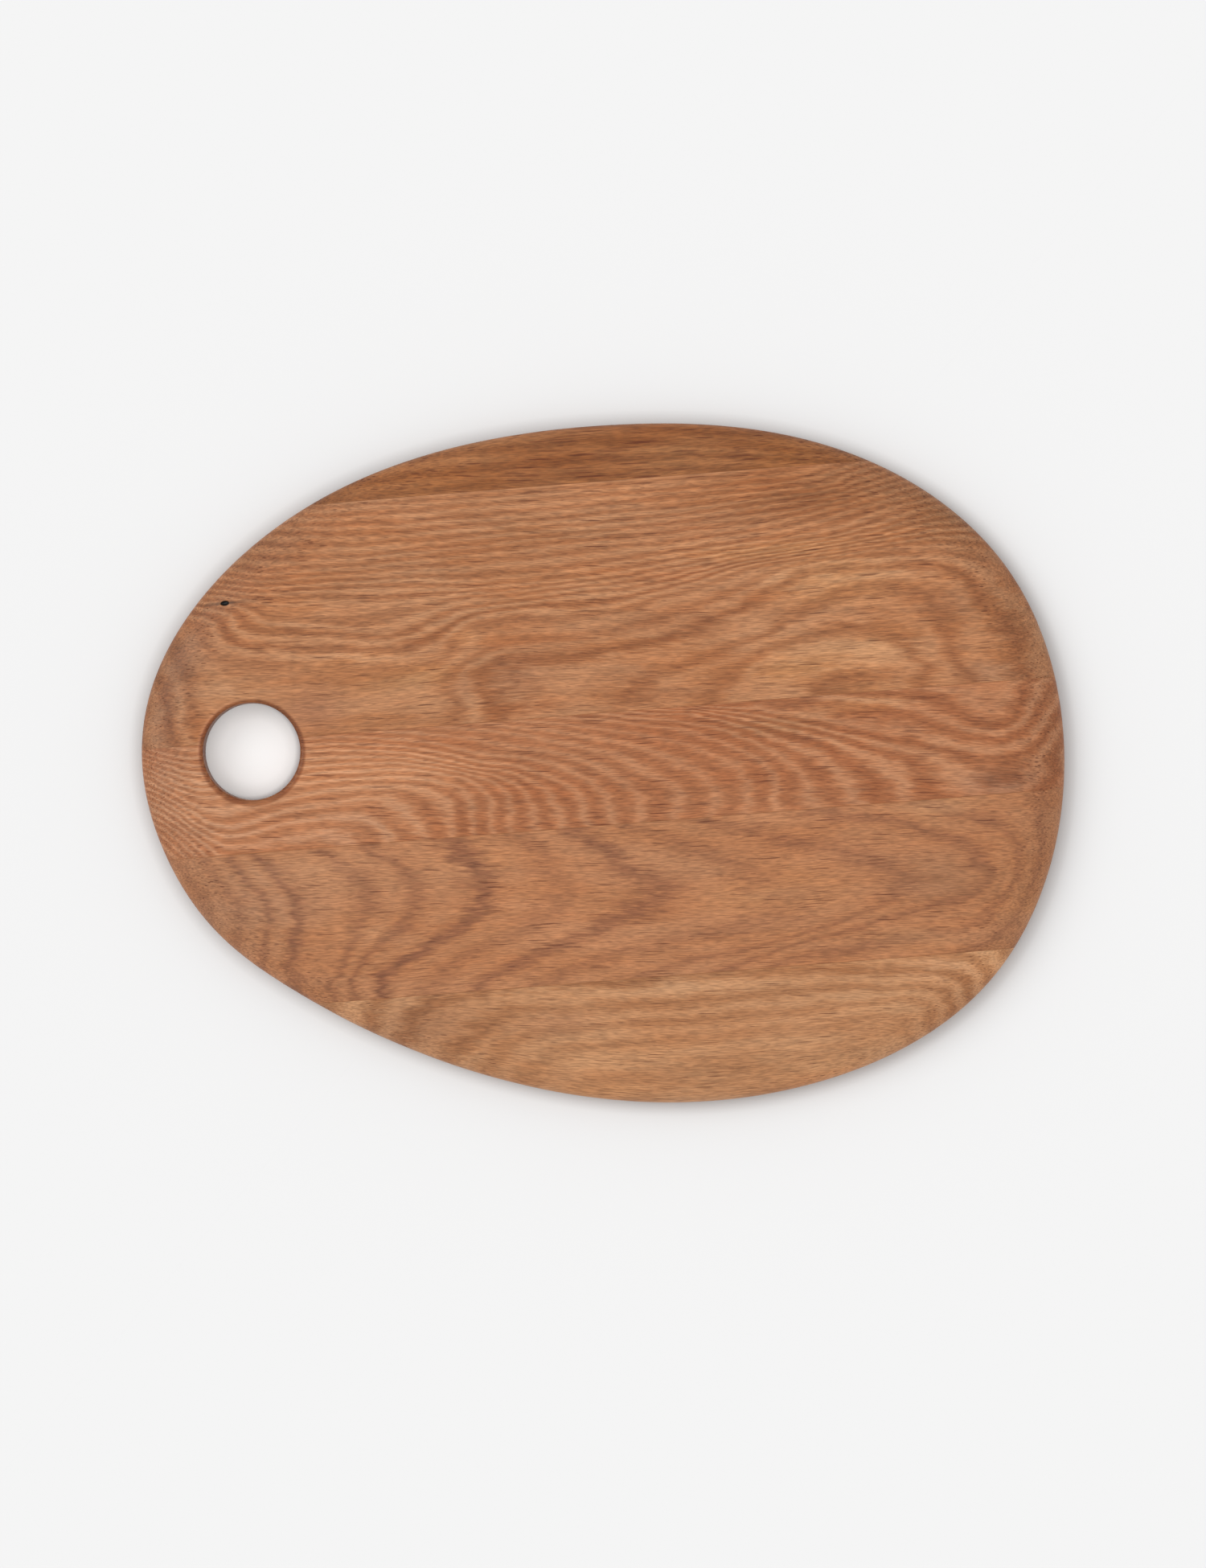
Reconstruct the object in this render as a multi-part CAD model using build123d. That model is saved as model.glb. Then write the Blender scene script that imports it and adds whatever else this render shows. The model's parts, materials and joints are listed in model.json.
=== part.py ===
from build123d import *
import os

# Mixing palette: an oiled oak board with a pebble outline and a thumb hole near its narrow end.
# It is glued up edge to edge from five staves, so the pieces are the staves and the glue films
# between them. The grain runs along X.
# Units are millimetres. The origin is the centre of the outline on the underside, +X points to
# the wide end, +Y to the dark far edge and +Z up.

# ---- Driving dimensions ----

THICKNESS = 18.0

# The outline is one smooth closed curve along the board's widest line, counter-clockwise.
OUTLINE_POINTS = [
    (-161.9, -70.1),    # near shoulder of the narrow end
    (-37.7, -137.3),
    (74.4, -145.1),
    (162.2, -103.3),    # near corner of the wide end
    (183.6, 68.6),      # far corner of the wide end
    (121.0, 125.8),
    (12.4, 148.1),
    (-143.3, 108.9),    # far shoulder of the narrow end
    (-199.2, 28.2),     # tip of the narrow end
]

# The edge is rounded like a pebble. Above its widest line it rolls in slowly to the flat top, and
# below that line it tucks in quickly to the flat underside.
WIDEST_LINE_HEIGHT = 7.0
TOP_ROLL_WIDTH = 30.0
UNDERSIDE_ROLL_WIDTH = 6.0

THUMB_HOLE_CENTRE = (-151.6, 18.9)
THUMB_HOLE_RADIUS = 21.0
THUMB_HOLE_EASING = 2.0     # radius on both rims of the hole

# Glue films, from the far edge to the near edge, as the Y of each film's middle.
GLUE_LINES = [123.4, 23.5, -25.1, -92.2]
GLUE_THICKNESS = 0.2

STAVE_NAMES = [
    "stave_1_dark_far_edge",
    "stave_2_wide_knot",
    "stave_3_red",
    "stave_4_figured",
    "stave_5_light_near_edge",
]


# ---- The board before it is divided ----

def edge_section(outline):
    """Draw the rounded edge as an upright wire at the start of the outline, facing inwards."""
    along = outline % 0
    inwards = along.rotate(Axis.Z, 90)
    upright = Plane(origin=outline @ 0, x_dir=inwards, z_dir=along)
    top_roll = EllipticalCenterArc(
        (TOP_ROLL_WIDTH, WIDEST_LINE_HEIGHT),
        TOP_ROLL_WIDTH,
        THICKNESS - WIDEST_LINE_HEIGHT,
        start_angle=90,
        arc_size=90,
    )
    underside_roll = EllipticalCenterArc(
        (UNDERSIDE_ROLL_WIDTH, WIDEST_LINE_HEIGHT),
        UNDERSIDE_ROLL_WIDTH,
        WIDEST_LINE_HEIGHT,
        start_angle=180,
        arc_size=90,
    )
    return Wire((upright * (Curve() + [top_roll, underside_roll])).edges())


def board_blank():
    """Sweep the edge round the outline and close it with the flat top and the flat underside."""
    outline = Spline(*OUTLINE_POINTS, periodic=True)
    edge_band = Shell.sweep(edge_section(outline), outline)
    rims = edge_band.edges().filter_by(lambda edge: edge.is_closed).sort_by(Axis.Z)
    underside = Face(Wire([rims[0]]))
    top = Face(Wire([rims[-1]]))
    return Solid(Shell(edge_band.faces() + [underside, top]))


def bore_thumb_hole(board):
    """Bore the thumb hole straight through and ease its two rims."""
    drill = Pos(*THUMB_HOLE_CENTRE, THICKNESS / 2) * Cylinder(THUMB_HOLE_RADIUS, 2 * THICKNESS)
    bored = board - drill
    wall = bored.faces().filter_by(GeomType.CYLINDER)[0]
    rims = wall.edges().filter_by(GeomType.LINE, reverse=True)
    return fillet(rims, THUMB_HOLE_EASING)


# ---- The pieces ----

def strip(board, near_y, far_y):
    """Return the part of the board between two straight cuts along the grain."""
    reach = board.bounding_box().size.X
    slab = Pos(0, (near_y + far_y) / 2, THICKNESS / 2) * Box(reach, far_y - near_y, 2 * THICKNESS)
    return board & slab


def pieces():
    """Divide the board into its staves and the glue films between them."""
    board = bore_thumb_hole(board_blank())
    beyond = board.bounding_box().size.Y
    far_cut = beyond
    parts = {}
    for number, middle in enumerate(GLUE_LINES, start=1):
        film_far = middle + GLUE_THICKNESS / 2
        film_near = middle - GLUE_THICKNESS / 2
        parts[STAVE_NAMES[number - 1]] = strip(board, film_far, far_cut)
        parts[f"glue_line_{number}"] = strip(board, film_near, film_far)
        far_cut = film_near
    parts[STAVE_NAMES[-1]] = strip(board, -beyond, far_cut)
    return parts


os.makedirs("parts", exist_ok=True)
for name, piece in pieces().items():
    export_step(piece, f"parts/{name}.step")
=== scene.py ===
import json
import math

import bmesh
import bpy
import numpy as np
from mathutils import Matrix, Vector
from mathutils.geometry import delaunay_2d_cdt


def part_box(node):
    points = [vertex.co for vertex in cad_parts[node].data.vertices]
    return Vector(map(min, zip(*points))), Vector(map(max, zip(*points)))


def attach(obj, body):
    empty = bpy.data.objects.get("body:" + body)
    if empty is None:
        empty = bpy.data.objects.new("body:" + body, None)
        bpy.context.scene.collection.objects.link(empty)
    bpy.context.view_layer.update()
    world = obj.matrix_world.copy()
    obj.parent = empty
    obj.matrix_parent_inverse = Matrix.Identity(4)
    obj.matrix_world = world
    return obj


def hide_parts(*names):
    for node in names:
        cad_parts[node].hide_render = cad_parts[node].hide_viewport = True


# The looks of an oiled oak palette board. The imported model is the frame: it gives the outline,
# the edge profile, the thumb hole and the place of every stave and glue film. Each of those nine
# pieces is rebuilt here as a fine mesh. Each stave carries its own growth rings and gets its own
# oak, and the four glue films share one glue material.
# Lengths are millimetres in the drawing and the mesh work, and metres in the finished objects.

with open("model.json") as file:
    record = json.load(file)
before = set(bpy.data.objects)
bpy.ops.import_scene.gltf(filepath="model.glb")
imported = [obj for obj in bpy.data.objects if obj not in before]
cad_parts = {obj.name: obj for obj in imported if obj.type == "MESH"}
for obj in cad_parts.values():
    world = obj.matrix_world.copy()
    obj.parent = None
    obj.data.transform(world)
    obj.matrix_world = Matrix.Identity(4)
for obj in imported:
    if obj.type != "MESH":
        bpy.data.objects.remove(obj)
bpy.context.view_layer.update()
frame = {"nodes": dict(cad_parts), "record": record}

MM = 0.001


# ---- Sizes taken from the frame ----

def frame_points():
    """Every vertex of the CAD model, in millimetres."""
    clouds = [[vertex.co for vertex in node.data.vertices] for node in frame["nodes"].values()]
    return np.concatenate([np.array(cloud) for cloud in clouds]) / MM


def thumb_hole_mount():
    """The thumb hole's entry among the record's mounts."""
    mounts = frame["record"]["mounts"]
    return next(mount for mount in mounts if mount["name"] == "thumb_hole")


CLOUD = frame_points()
THICKNESS = CLOUD[:, 2].max()
HOLE = thumb_hole_mount()
HOLE_CENTRE = np.array(HOLE["pos_m"][:2]) / MM
HOLE_RADIUS = HOLE["dims"]["r_mm"]
HOLE_EASING = (THICKNESS - HOLE["dims"]["length_mm"]) / 2     # radius on both rims of the hole
RIM_RADIUS = HOLE_RADIUS + HOLE_EASING

# The board is widest on one level line. Above it the edge rolls in to the flat top, and below it
# the edge tucks in to the flat underside.
WIDEST_X = CLOUD[:, 0].max()
WIDEST_Z = CLOUD[CLOUD[:, 0].argmax(), 2]
LEVEL_TOLERANCE = 0.01
TOP_ROLL = WIDEST_X - CLOUD[CLOUD[:, 2] > THICKNESS - LEVEL_TOLERANCE, 0].max()
UNDER_ROLL = WIDEST_X - CLOUD[CLOUD[:, 2] < LEVEL_TOLERANCE, 0].max()


# ---- Outline ----

OUTLINE_STEPS = 480
OUTLINE_WAVES = 20
FINER = 12      # distances are measured from an outline with this many times the steps


def outline_angles(steps):
    """Evenly spaced angles round a full turn."""
    return np.arange(steps) * 2 * math.pi / steps


def wave_table(angles):
    """Cosines and sines of the whole multiples of each angle."""
    turns = np.outer(angles, np.arange(1, OUTLINE_WAVES + 1))
    return np.column_stack([np.ones(len(angles)), np.cos(turns), np.sin(turns)])


def fit_outline():
    """The widest line as a smooth radius against angle, fitted to the CAD vertices that lie on it."""
    level = np.abs(CLOUD[:, 2] - WIDEST_Z) < LEVEL_TOLERANCE
    outside_hole = np.hypot(*(CLOUD[:, :2] - HOLE_CENTRE).T) > RIM_RADIUS
    ring = CLOUD[level & outside_hole, :2]
    angles = np.arctan2(ring[:, 1], ring[:, 0])
    radii = np.hypot(ring[:, 0], ring[:, 1])
    return np.linalg.lstsq(wave_table(angles), radii, rcond=None)[0]


OUTLINE = fit_outline()


def outline_points(steps):
    """Points along the widest line and the inward normal at each."""
    angles = outline_angles(steps)
    radii = wave_table(angles) @ OUTLINE
    points = np.column_stack([radii * np.cos(angles), radii * np.sin(angles)])
    along = np.roll(points, -1, axis=0) - np.roll(points, 1, axis=0)
    along /= np.hypot(along[:, 0], along[:, 1])[:, None]
    return points, np.column_stack([-along[:, 1], along[:, 0]])


FINE_OUTLINE = outline_points(FINER * OUTLINE_STEPS)[0]


def inset(points):
    """How far inside the widest line each point lies."""
    gaps = [np.hypot(*(FINE_OUTLINE - point).T).min() for point in points]
    return np.array(gaps)


# ---- Board mesh ----

EDGE_ROWS = 12
GRID_STEP = 2.5
HOLE_STEPS = 96
RIM_ROWS = 6
WALL_ROWS = 4
LEVEL_PAIR = math.radians(20)     # two triangles become one face if they are this nearly level
SQUARE_PAIR = math.radians(40)    # with each other and the face's corners this nearly square

# Corners that lie closer than these are one corner: in a drawing, on the line where two sheets
# meet, on a cut, and at a sliver that a cut leaves.
DRAWING_GAP = 1e-5
SEAM_GAP = 1e-4
CUT_GAP = 1e-6
SLIVER = 0.001

# A pin knot that fell out leaves a small pit in the second stave.
KNOT_CENTRE = np.array([-158.2, 83.8])
KNOT_RADII = np.array([2.1, 1.1])
KNOT_TILT = math.radians(8)
KNOT_DEPTH = 1.2
KNOT_STEPS = 24
KNOT_SCALES = (0.25, 0.5, 0.75, 0.9, 1.0, 1.15, 1.5, 2.2)    # mesh lines in and round the pit
KNOT_MARGIN = 0.6      # room round the outermost of those lines, in radii of the pit


def around(centre, radius, steps):
    """Evenly spaced points round a circle."""
    angles = outline_angles(steps)
    return centre + radius * np.column_stack([np.cos(angles), np.sin(angles)])


def knot_loop(scale):
    """The rim of the pin knot's pit, scaled about its middle."""
    loop = around(np.zeros(2), scale, KNOT_STEPS) * KNOT_RADII
    cosine, sine = math.cos(KNOT_TILT), math.sin(KNOT_TILT)
    return KNOT_CENTRE + loop @ np.array([[cosine, sine], [-sine, cosine]])


class Sheet:
    """The top or the underside as a flat drawing with a height for each point."""

    def __init__(self, level, roll):
        self.level = level
        self.roll = roll
        self.is_top = level > WIDEST_Z
        self.points = []
        self.heights = []
        self.edges = []

    def edge_height(self, gaps):
        """Height at these insets from the widest line, where the edge is a quarter ellipse."""
        share = np.clip((self.roll - gaps) / self.roll, 0, 1)
        return WIDEST_Z + (self.level - WIDEST_Z) * np.sqrt(1 - share ** 2)

    def clear(self, points):
        """True for points that leave room for the hole's rim and, on the top, for the pin knot."""
        off_hole = np.hypot(*(points - HOLE_CENTRE).T) > RIM_RADIUS + GRID_STEP / 2
        off_knot = np.hypot(*((points - KNOT_CENTRE) / KNOT_RADII).T) > KNOT_SCALES[-1] + KNOT_MARGIN
        return off_hole & (off_knot | (not self.is_top))

    def add_loop(self, points, heights, keep=None):
        """Points of one closed line. Neighbours that are both kept are joined by a mesh edge."""
        keep = np.ones(len(points), bool) if keep is None else keep
        numbers = len(self.points) + np.cumsum(keep) - 1
        self.points.extend(points[keep])
        self.heights.extend(heights[keep])
        following = np.roll(np.arange(len(points)), -1)
        joined = keep & keep[following]
        self.edges.extend(zip(numbers[joined], numbers[following][joined]))

    def add_edge(self):
        """Lines from the widest line up or down the rolled edge to where this face goes flat."""
        points, inward = outline_points(OUTLINE_STEPS)
        for row in range(EDGE_ROWS + 1):
            slope = math.pi / 2 * row / EDGE_ROWS
            gap = self.roll * (1 - math.cos(slope))
            height = WIDEST_Z + (self.level - WIDEST_Z) * math.sin(slope)
            line = points + gap * inward
            self.add_loop(line, np.full(len(line), height), self.clear(line))

    def add_hole(self):
        """Lines over the eased rim of the thumb hole, from its wall out to this face."""
        for row in range(RIM_ROWS + 1):
            slope = math.pi / 2 * row / RIM_ROWS
            line = around(HOLE_CENTRE, HOLE_RADIUS + HOLE_EASING * (1 - math.cos(slope)), HOLE_STEPS)
            sink = HOLE_EASING * (1 - math.sin(slope))
            self.add_loop(line, self.edge_height(inset(line)) + (-sink if self.is_top else sink))

    def add_knot(self):
        """Lines in and round the pit of the pin knot."""
        for scale in KNOT_SCALES:
            line = knot_loop(scale)
            depth = KNOT_DEPTH * max(0, 1 - scale ** 3)
            self.add_loop(line, self.edge_height(inset(line)) - depth)

    def add_grid(self):
        """Evenly spaced points over the flat middle."""
        steps = np.arange(-WIDEST_X, WIDEST_X, GRID_STEP)
        grid = np.array(np.meshgrid(steps, steps)).reshape(2, -1).T
        grid = grid[self.clear(grid)]
        angles = np.arctan2(grid[:, 1], grid[:, 0])
        grid = grid[np.hypot(*grid.T) < wave_table(angles) @ OUTLINE]
        grid = grid[inset(grid) > self.roll + GRID_STEP / 2]
        self.points.extend(grid)
        self.heights.extend(np.full(len(grid), self.level))

    def faces(self):
        """Corners and triangles of the finished sheet, without the thumb hole."""
        flat = [Vector(point) for point in self.points]
        edges = [tuple(int(end) for end in edge) for edge in self.edges]
        places, _, faces, sources, _, _ = delaunay_2d_cdt(flat, edges, [], 1, DRAWING_GAP)
        heights = [self.heights[source[0]] for source in sources]
        corners = [(place.x, place.y, height) for place, height in zip(places, heights)]
        middles = [sum((places[corner] for corner in face), Vector((0, 0))) / 3 for face in faces]
        hole = Vector(HOLE_CENTRE)
        kept = [face for face, middle in zip(faces, middles) if (middle - hole).length > HOLE_RADIUS]
        return corners, kept


def add_sheet(board, sheet):
    """Adds a finished sheet to the board, mostly as four-sided faces."""
    corners, faces = sheet.faces()
    vertices = [board.verts.new(corner) for corner in corners]
    made = [board.faces.new([vertices[corner] for corner in face]) for face in faces]
    bmesh.ops.join_triangles(
        board,
        faces=made,
        angle_face_threshold=LEVEL_PAIR,
        angle_shape_threshold=SQUARE_PAIR,
    )


def add_wall(board, top, under):
    """The straight wall of the thumb hole, between its two eased rims."""
    line = around(HOLE_CENTRE, HOLE_RADIUS, HOLE_STEPS)
    highest = top.edge_height(inset(line)) - HOLE_EASING
    lowest = under.edge_height(inset(line)) + HOLE_EASING
    rows = []
    for row in range(WALL_ROWS + 1):
        heights = lowest + (highest - lowest) * row / WALL_ROWS
        rows.append([board.verts.new((x, y, z)) for (x, y), z in zip(line, heights)])
    for lower, upper in zip(rows, rows[1:]):
        for here in range(HOLE_STEPS):
            there = (here + 1) % HOLE_STEPS
            board.faces.new([lower[here], lower[there], upper[there], upper[here]])


def board_blank():
    """The whole board as one closed mesh, before it is divided into staves."""
    top = Sheet(THICKNESS, TOP_ROLL)
    under = Sheet(0.0, UNDER_ROLL)
    board = bmesh.new()
    for sheet in (top, under):
        sheet.add_edge()
        sheet.add_hole()
        if sheet.is_top:
            sheet.add_knot()
        sheet.add_grid()
        add_sheet(board, sheet)
    add_wall(board, top, under)
    bmesh.ops.remove_doubles(board, verts=board.verts, dist=SEAM_GAP)
    bmesh.ops.recalc_face_normals(board, faces=board.faces)
    for face in board.faces:
        face.smooth = True
    return board


def slice_off(piece, y, outward):
    """Cuts the piece square along Y = y, drops what lies beyond and closes the cut."""
    bmesh.ops.bisect_plane(
        piece,
        geom=piece.verts[:] + piece.edges[:] + piece.faces[:],
        plane_co=(0, y, 0),
        plane_no=(0, outward, 0),
        clear_outer=True,
        dist=CUT_GAP,
    )
    rim = [edge for edge in piece.edges if edge.is_boundary]
    cut = bmesh.ops.holes_fill(piece, edges=rim, sides=0)["faces"]
    for face in cut:
        face.smooth = False
        for edge in face.edges:
            edge.smooth = False


def cut_piece(blank, node):
    """The part of the board that one stave or glue film fills."""
    low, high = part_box(node)
    piece = blank.copy()
    if high.y / MM < CLOUD[:, 1].max() - LEVEL_TOLERANCE:
        slice_off(piece, high.y / MM, 1)
    if low.y / MM > CLOUD[:, 1].min() + LEVEL_TOLERANCE:
        slice_off(piece, low.y / MM, -1)
    bmesh.ops.dissolve_degenerate(piece, dist=SLIVER, edges=piece.edges)
    bmesh.ops.recalc_face_normals(piece, faces=piece.faces)
    bmesh.ops.scale(piece, vec=(MM, MM, MM), verts=piece.verts)
    mesh = bpy.data.meshes.new(node)
    piece.to_mesh(mesh)
    piece.free()
    return mesh


# ---- Growth rings ----

# Each stave is drawn as the lines in which its growth rings cross the top face, at X, Y in
# millimetres. A row is a ring number, how strongly its dark early wood shows, and the line.
# Rings that aren't drawn fall evenly between their neighbours. The rings tilt through the board
# by ring_tilt rings for each millimetre below the top face.

RING_LINES = {
    "stave_1_dark_far_edge": [
        (0, 0.45, [(-90, 125), (0, 126), (75, 124)]),
        (1, 0.5, [(-70, 132), (20, 133), (60, 130.5), (90, 126)]),
        (2, 0.45, [(-40, 141), (0, 141.5), (70, 134)]),
    ],
    "stave_2_wide_knot": [
        (0, 1.0, [(94, 29), (110, 29)]),
        (0.3, 0.6, [(84, 27), (92, 34), (104, 37), (118, 35), (125, 29)]),
        (0.5, 0.4, [(60, 27), (69, 38), (85, 43), (104, 45), (122, 42), (133, 33), (131, 26)]),
        (1, 0.75, [(49, 26), (55, 33), (63, 38.5), (78, 46), (98, 50.5), (115, 51.5), (127, 48),
                   (137, 40), (143, 33), (140, 26)]),
        (1.5, 0.4, [(30, 28), (33, 34), (53, 42), (70, 47.5), (85, 53), (108, 60), (124, 61),
                    (136, 56), (143, 47), (146, 36), (150, 27)]),
        (2, 0.75, [(8, 26), (14, 33), (27, 38), (40, 42), (55, 46.5), (70, 50.5), (85, 57),
                   (95, 62), (108, 67), (122, 69.5), (136, 67), (147, 59), (151, 48), (154, 38),
                   (160, 28)]),
        (2.5, 0.5, [(-13, 28), (-9, 42), (20, 45.5), (40, 49), (55, 52.5), (70, 59), (85, 66),
                    (100, 71.5), (120, 73.5), (140, 72), (155, 67), (163, 56), (166, 45),
                    (168, 30)]),
        (2.7, 0.5, [(172, 50), (176, 42), (176, 30)]),
        (2.7, 0.8, [(-29, 30), (-31, 41)]),
        (3, 0.9, [(-46, 28), (-50, 44), (-42, 49), (-20, 49.5), (0, 50), (30, 53.5), (46, 58.5),
                  (60, 63), (80, 71.5), (97, 77), (125, 77.5), (150, 75.5), (164, 68), (171, 57),
                  (180, 48), (184, 40), (182, 31)]),
        (3, 0.9, [(-191, 57), (-187, 47), (-185.5, 38), (-186, 28)]),
        (3.4, 0.7, [(172, 67), (182, 57), (189, 45), (191, 31)]),
        (4, 0.5, [(-30, 57.5), (0, 58), (20, 60.5), (33, 64.5), (50, 69), (70, 75), (90, 81),
                  (120, 83), (150, 82), (170, 77)]),
        (4, 0.5, [(-182, 70), (-178, 58), (-175.5, 48), (-175, 38), (-174, 30)]),
        (4.5, 0.3, [(-130, 30), (-125, 40), (-105, 42), (-85, 38), (-70, 32)]),
        (5, 0.5, [(-172, 76), (-166, 66), (-160, 58.5), (-150, 55.5), (-121, 52.5), (-100, 50.3),
                  (-80, 48.8), (-69, 50.5), (-61, 57), (-52, 65), (-15, 65), (5, 66), (20, 68),
                  (32, 71.5), (45, 74.5), (70, 81)]),
        (6, 0.9, [(-164, 79), (-158, 70.5), (-150, 65), (-140, 64), (-127, 62), (-110, 60),
                  (-95, 58.3), (-83, 58.5), (-70, 61.5), (-60, 67), (-45, 71.5), (0, 72)]),
        (7, 0.8, [(-152, 79), (-148, 74), (-141, 70.5), (-130, 69), (-115, 67.5), (-100, 65),
                  (-88, 63.5), (-79, 66), (-71, 69.5), (-60, 73), (0, 76.5)]),
        (8, 0.5, [(-140, 77), (-128, 75.3), (-110, 73), (-90, 73.5), (-50, 79)]),
        (9, 0.7, [(-150, 86), (-120, 83.5), (-60, 80.5), (0, 81), (25, 83), (60, 87), (110, 91),
                  (143, 98)]),
        (12, 0.6, [(-140, 93), (-45, 93), (50, 96), (90, 99), (125, 106)]),
        (16, 0.65, [(-125, 112), (-90, 109), (20, 110), (100, 112.5), (120, 117)]),
        (19, 0.5, [(-110, 122), (0, 121.5), (90, 122)]),
    ],
    "stave_3_red": [
        (-4, 0.6, [(-180, -26), (-186, -19.5), (-193, -13)]),
        (-2, 0.7, [(-172, -25), (-178, -19), (-186, -12), (-194, -6)]),
        (0, 0.6, [(-196, 1.5), (-184, -6.5), (-175, -14), (-168, -19), (-160, -19.5), (-145, -17.5),
                  (-127, -15), (-113, -16.5), (-104, -21)]),
        (1, 0.65, [(-198, 5), (-186, -2.5), (-178, -8.5), (-171, -13), (-160, -15.3), (-150, -13),
                   (-140, -11), (-127, -9.8), (-110, -9), (-99, -11.5), (-94, -15.5),
                   (-90.5, -22)]),
        (2, 0.7, [(-198, 8), (-185, 0.5), (-176, -5.5), (-168, -9.5), (-158, -9.5), (-142, -6.5),
                  (-124, -3.1), (-100, -3), (-88, -5), (-80, -10), (-75, -15), (-73, -22)]),
        (3, 0.65, [(-198, 11), (-185, 3.5), (-175, -1.5), (-124, 1.5), (-100, 1.5), (-85, 0.5),
                   (-74, -2), (-66, -6), (-63, -12), (-62, -22)]),
        (5, 0.6, [(-198, 16), (-185, 9.5), (-175, 5.5), (-124, 8.7), (-90, 7.5), (-68, 3.5),
                  (-55, -1), (-48, -7), (-46, -14), (-46.5, -22)]),
        (8, 0.7, [(-198, 23), (-185, 18), (-175, 16), (-124, 18.2), (-90, 15), (-70, 10),
                  (-55, 5.5), (-42, 3), (-30, -2), (-22, -7), (-17, -13), (-15.5, -22)]),
        (11, 0.5, [(-90, 24), (-50, 18), (-20, 10), (0, 3), (13, -5), (20, -12), (22, -22)]),
        (13, 0.5, [(-50, 24), (-10, 17), (20, 9), (38, 2), (50, -6), (54, -14), (53, -22)]),
        (15, 0.6, [(0, 22), (35, 15), (55, 8), (69, 0.5), (77, -7), (80, -14), (79, -22)]),
        (16, 0.6, [(30, 20), (57, 12), (75, 3), (87, -5), (94, -13), (97, -22)]),
        (17, 0.9, [(40, 21.5), (64, 13.5), (82, 6.5), (93, 2), (102, -3), (109, -8), (114, -14),
                   (117, -22)]),
        (18, 0.8, [(66, 16.5), (90, 9), (104, 4), (114, -0.5), (125, -4.5), (133, -8.5), (138, -14),
                   (139, -22)]),
        (18, 0.8, [(191, -23), (193, -14), (196, -8), (200, -4)]),
        (18.5, 0.6, [(183, -22), (185, -15), (190, -8), (197, 0)]),
        (18.8, 0.9, [(162, -21), (176, -21)]),
        (19, 1.0, [(38, 23), (62, 19.5), (80, 15), (95, 10.5), (108, 6.5), (122, 2.5), (137, -1),
                   (150, -5.5), (160, -9.5), (170, -11.5), (180, -9), (187, -5), (193, 1),
                   (198, 7)]),
        (19.5, 0.6, [(150, -1), (162, -4.5), (173, -6.5), (181, -4), (187, 1.5), (192, 8),
                     (198, 14)]),
        (20, 0.9, [(70, 24), (85, 22), (100, 19.3), (115, 16.7), (125, 15), (133, 12), (141, 8),
                   (150, 3.3), (160, 0), (170, -2), (178, -1), (184, 2.5), (189, 9), (194, 16),
                   (198, 20)]),
        (20.5, 0.6, [(100, 22), (125, 19), (141, 13.5), (152, 7), (161, 2.8), (170, 1), (178, 2.2),
                     (184, 8), (190, 16), (195, 23)]),
        (21, 0.9, [(110, 23.5), (127, 21.8), (142, 19.8), (151, 16), (157, 10), (163, 6),
                   (170, 4.3), (177, 5.8), (181, 11), (184, 17), (188, 23)]),
        (21.3, 0.7, [(155, 19), (163, 11), (171, 10), (177, 12), (180, 20)]),
        (21.6, 0.3, [(162, 20), (170, 17), (176, 21)]),
    ],
    "stave_4_figured": [
        (-1, 0.4, [(-175, -27), (-168, -38), (-163, -50), (-164, -62)]),
        (0, 0.6, [(-163, -27), (-158, -36), (-152, -44), (-150, -52), (-151, -62), (-155, -72)]),
        (1, 0.8, [(-153, -26), (-146, -36), (-140, -44), (-137, -52), (-140, -64), (-143, -75),
                  (-141, -86)]),
        (1.5, 0.3, [(-141, -27), (-127, -40), (-122, -52), (-127, -68), (-132, -88)]),
        (2, 0.6, [(-127, -27), (-117, -33), (-109, -40), (-106, -48), (-108, -58), (-114, -68),
                  (-121, -80), (-124, -91)]),
        (3, 0.6, [(-104, -27), (-94, -33), (-88, -40), (-87, -48), (-90, -58), (-99, -65.5),
                  (-110, -73), (-115, -81), (-116, -91)]),
        (4, 1.0, [(-67, -26), (-62, -34), (-58.5, -42), (-57, -50), (-59, -58), (-66, -64.5),
                  (-76, -69.3), (-90, -75.3), (-99, -79.5), (-103.5, -83.5), (-104.3, -91)]),
        (5, 0.3, [(-37, -27), (-29, -37), (-23, -47), (-24, -56), (-34, -64), (-48, -70),
                  (-72, -79), (-84, -91)]),
        (6, 0.8, [(-19, -25), (-8, -31), (-1, -39), (8, -45.5), (19, -50.5), (26, -54.5), (17, -59),
                  (4, -64), (-5, -68.5), (-20, -74), (-33, -78), (-45, -81.5), (-56, -87),
                  (-63, -92)]),
        (7, 0.4, [(13, -28), (32, -37), (52, -46), (72, -58), (70, -66), (45, -75), (0, -80.5),
                  (-25, -88)]),
        (8, 0.5, [(42, -26), (62, -34), (85, -41), (104, -46), (122, -56), (122, -64), (108, -71),
                  (75, -80), (30, -87), (10, -91)]),
        (9, 0.6, [(84, -25), (100, -29.5), (125, -34), (148, -43), (160, -55), (158, -65),
                  (146, -70), (122, -73.5), (100, -79), (76, -83), (50, -90)]),
        (10, 0.5, [(140, -27), (165, -37), (176, -48), (175, -62), (163, -74), (148, -82),
                   (125, -84), (104, -88)]),
        (11, 0.5, [(188, -27), (187, -45), (182, -62), (172, -80)]),
    ],
    "stave_5_light_near_edge": [
        (-1, 0.65, [(-105, -92), (-107.5, -97), (-110, -108)]),
        (-1, 0.65, [(136, -91.5), (148, -93.5), (154, -96), (157.5, -100), (158.5, -106)]),
        (0, 0.7, [(-98, -113), (-95, -107), (-91, -101), (-86, -97), (-79, -94.5), (-60, -92)]),
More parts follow.
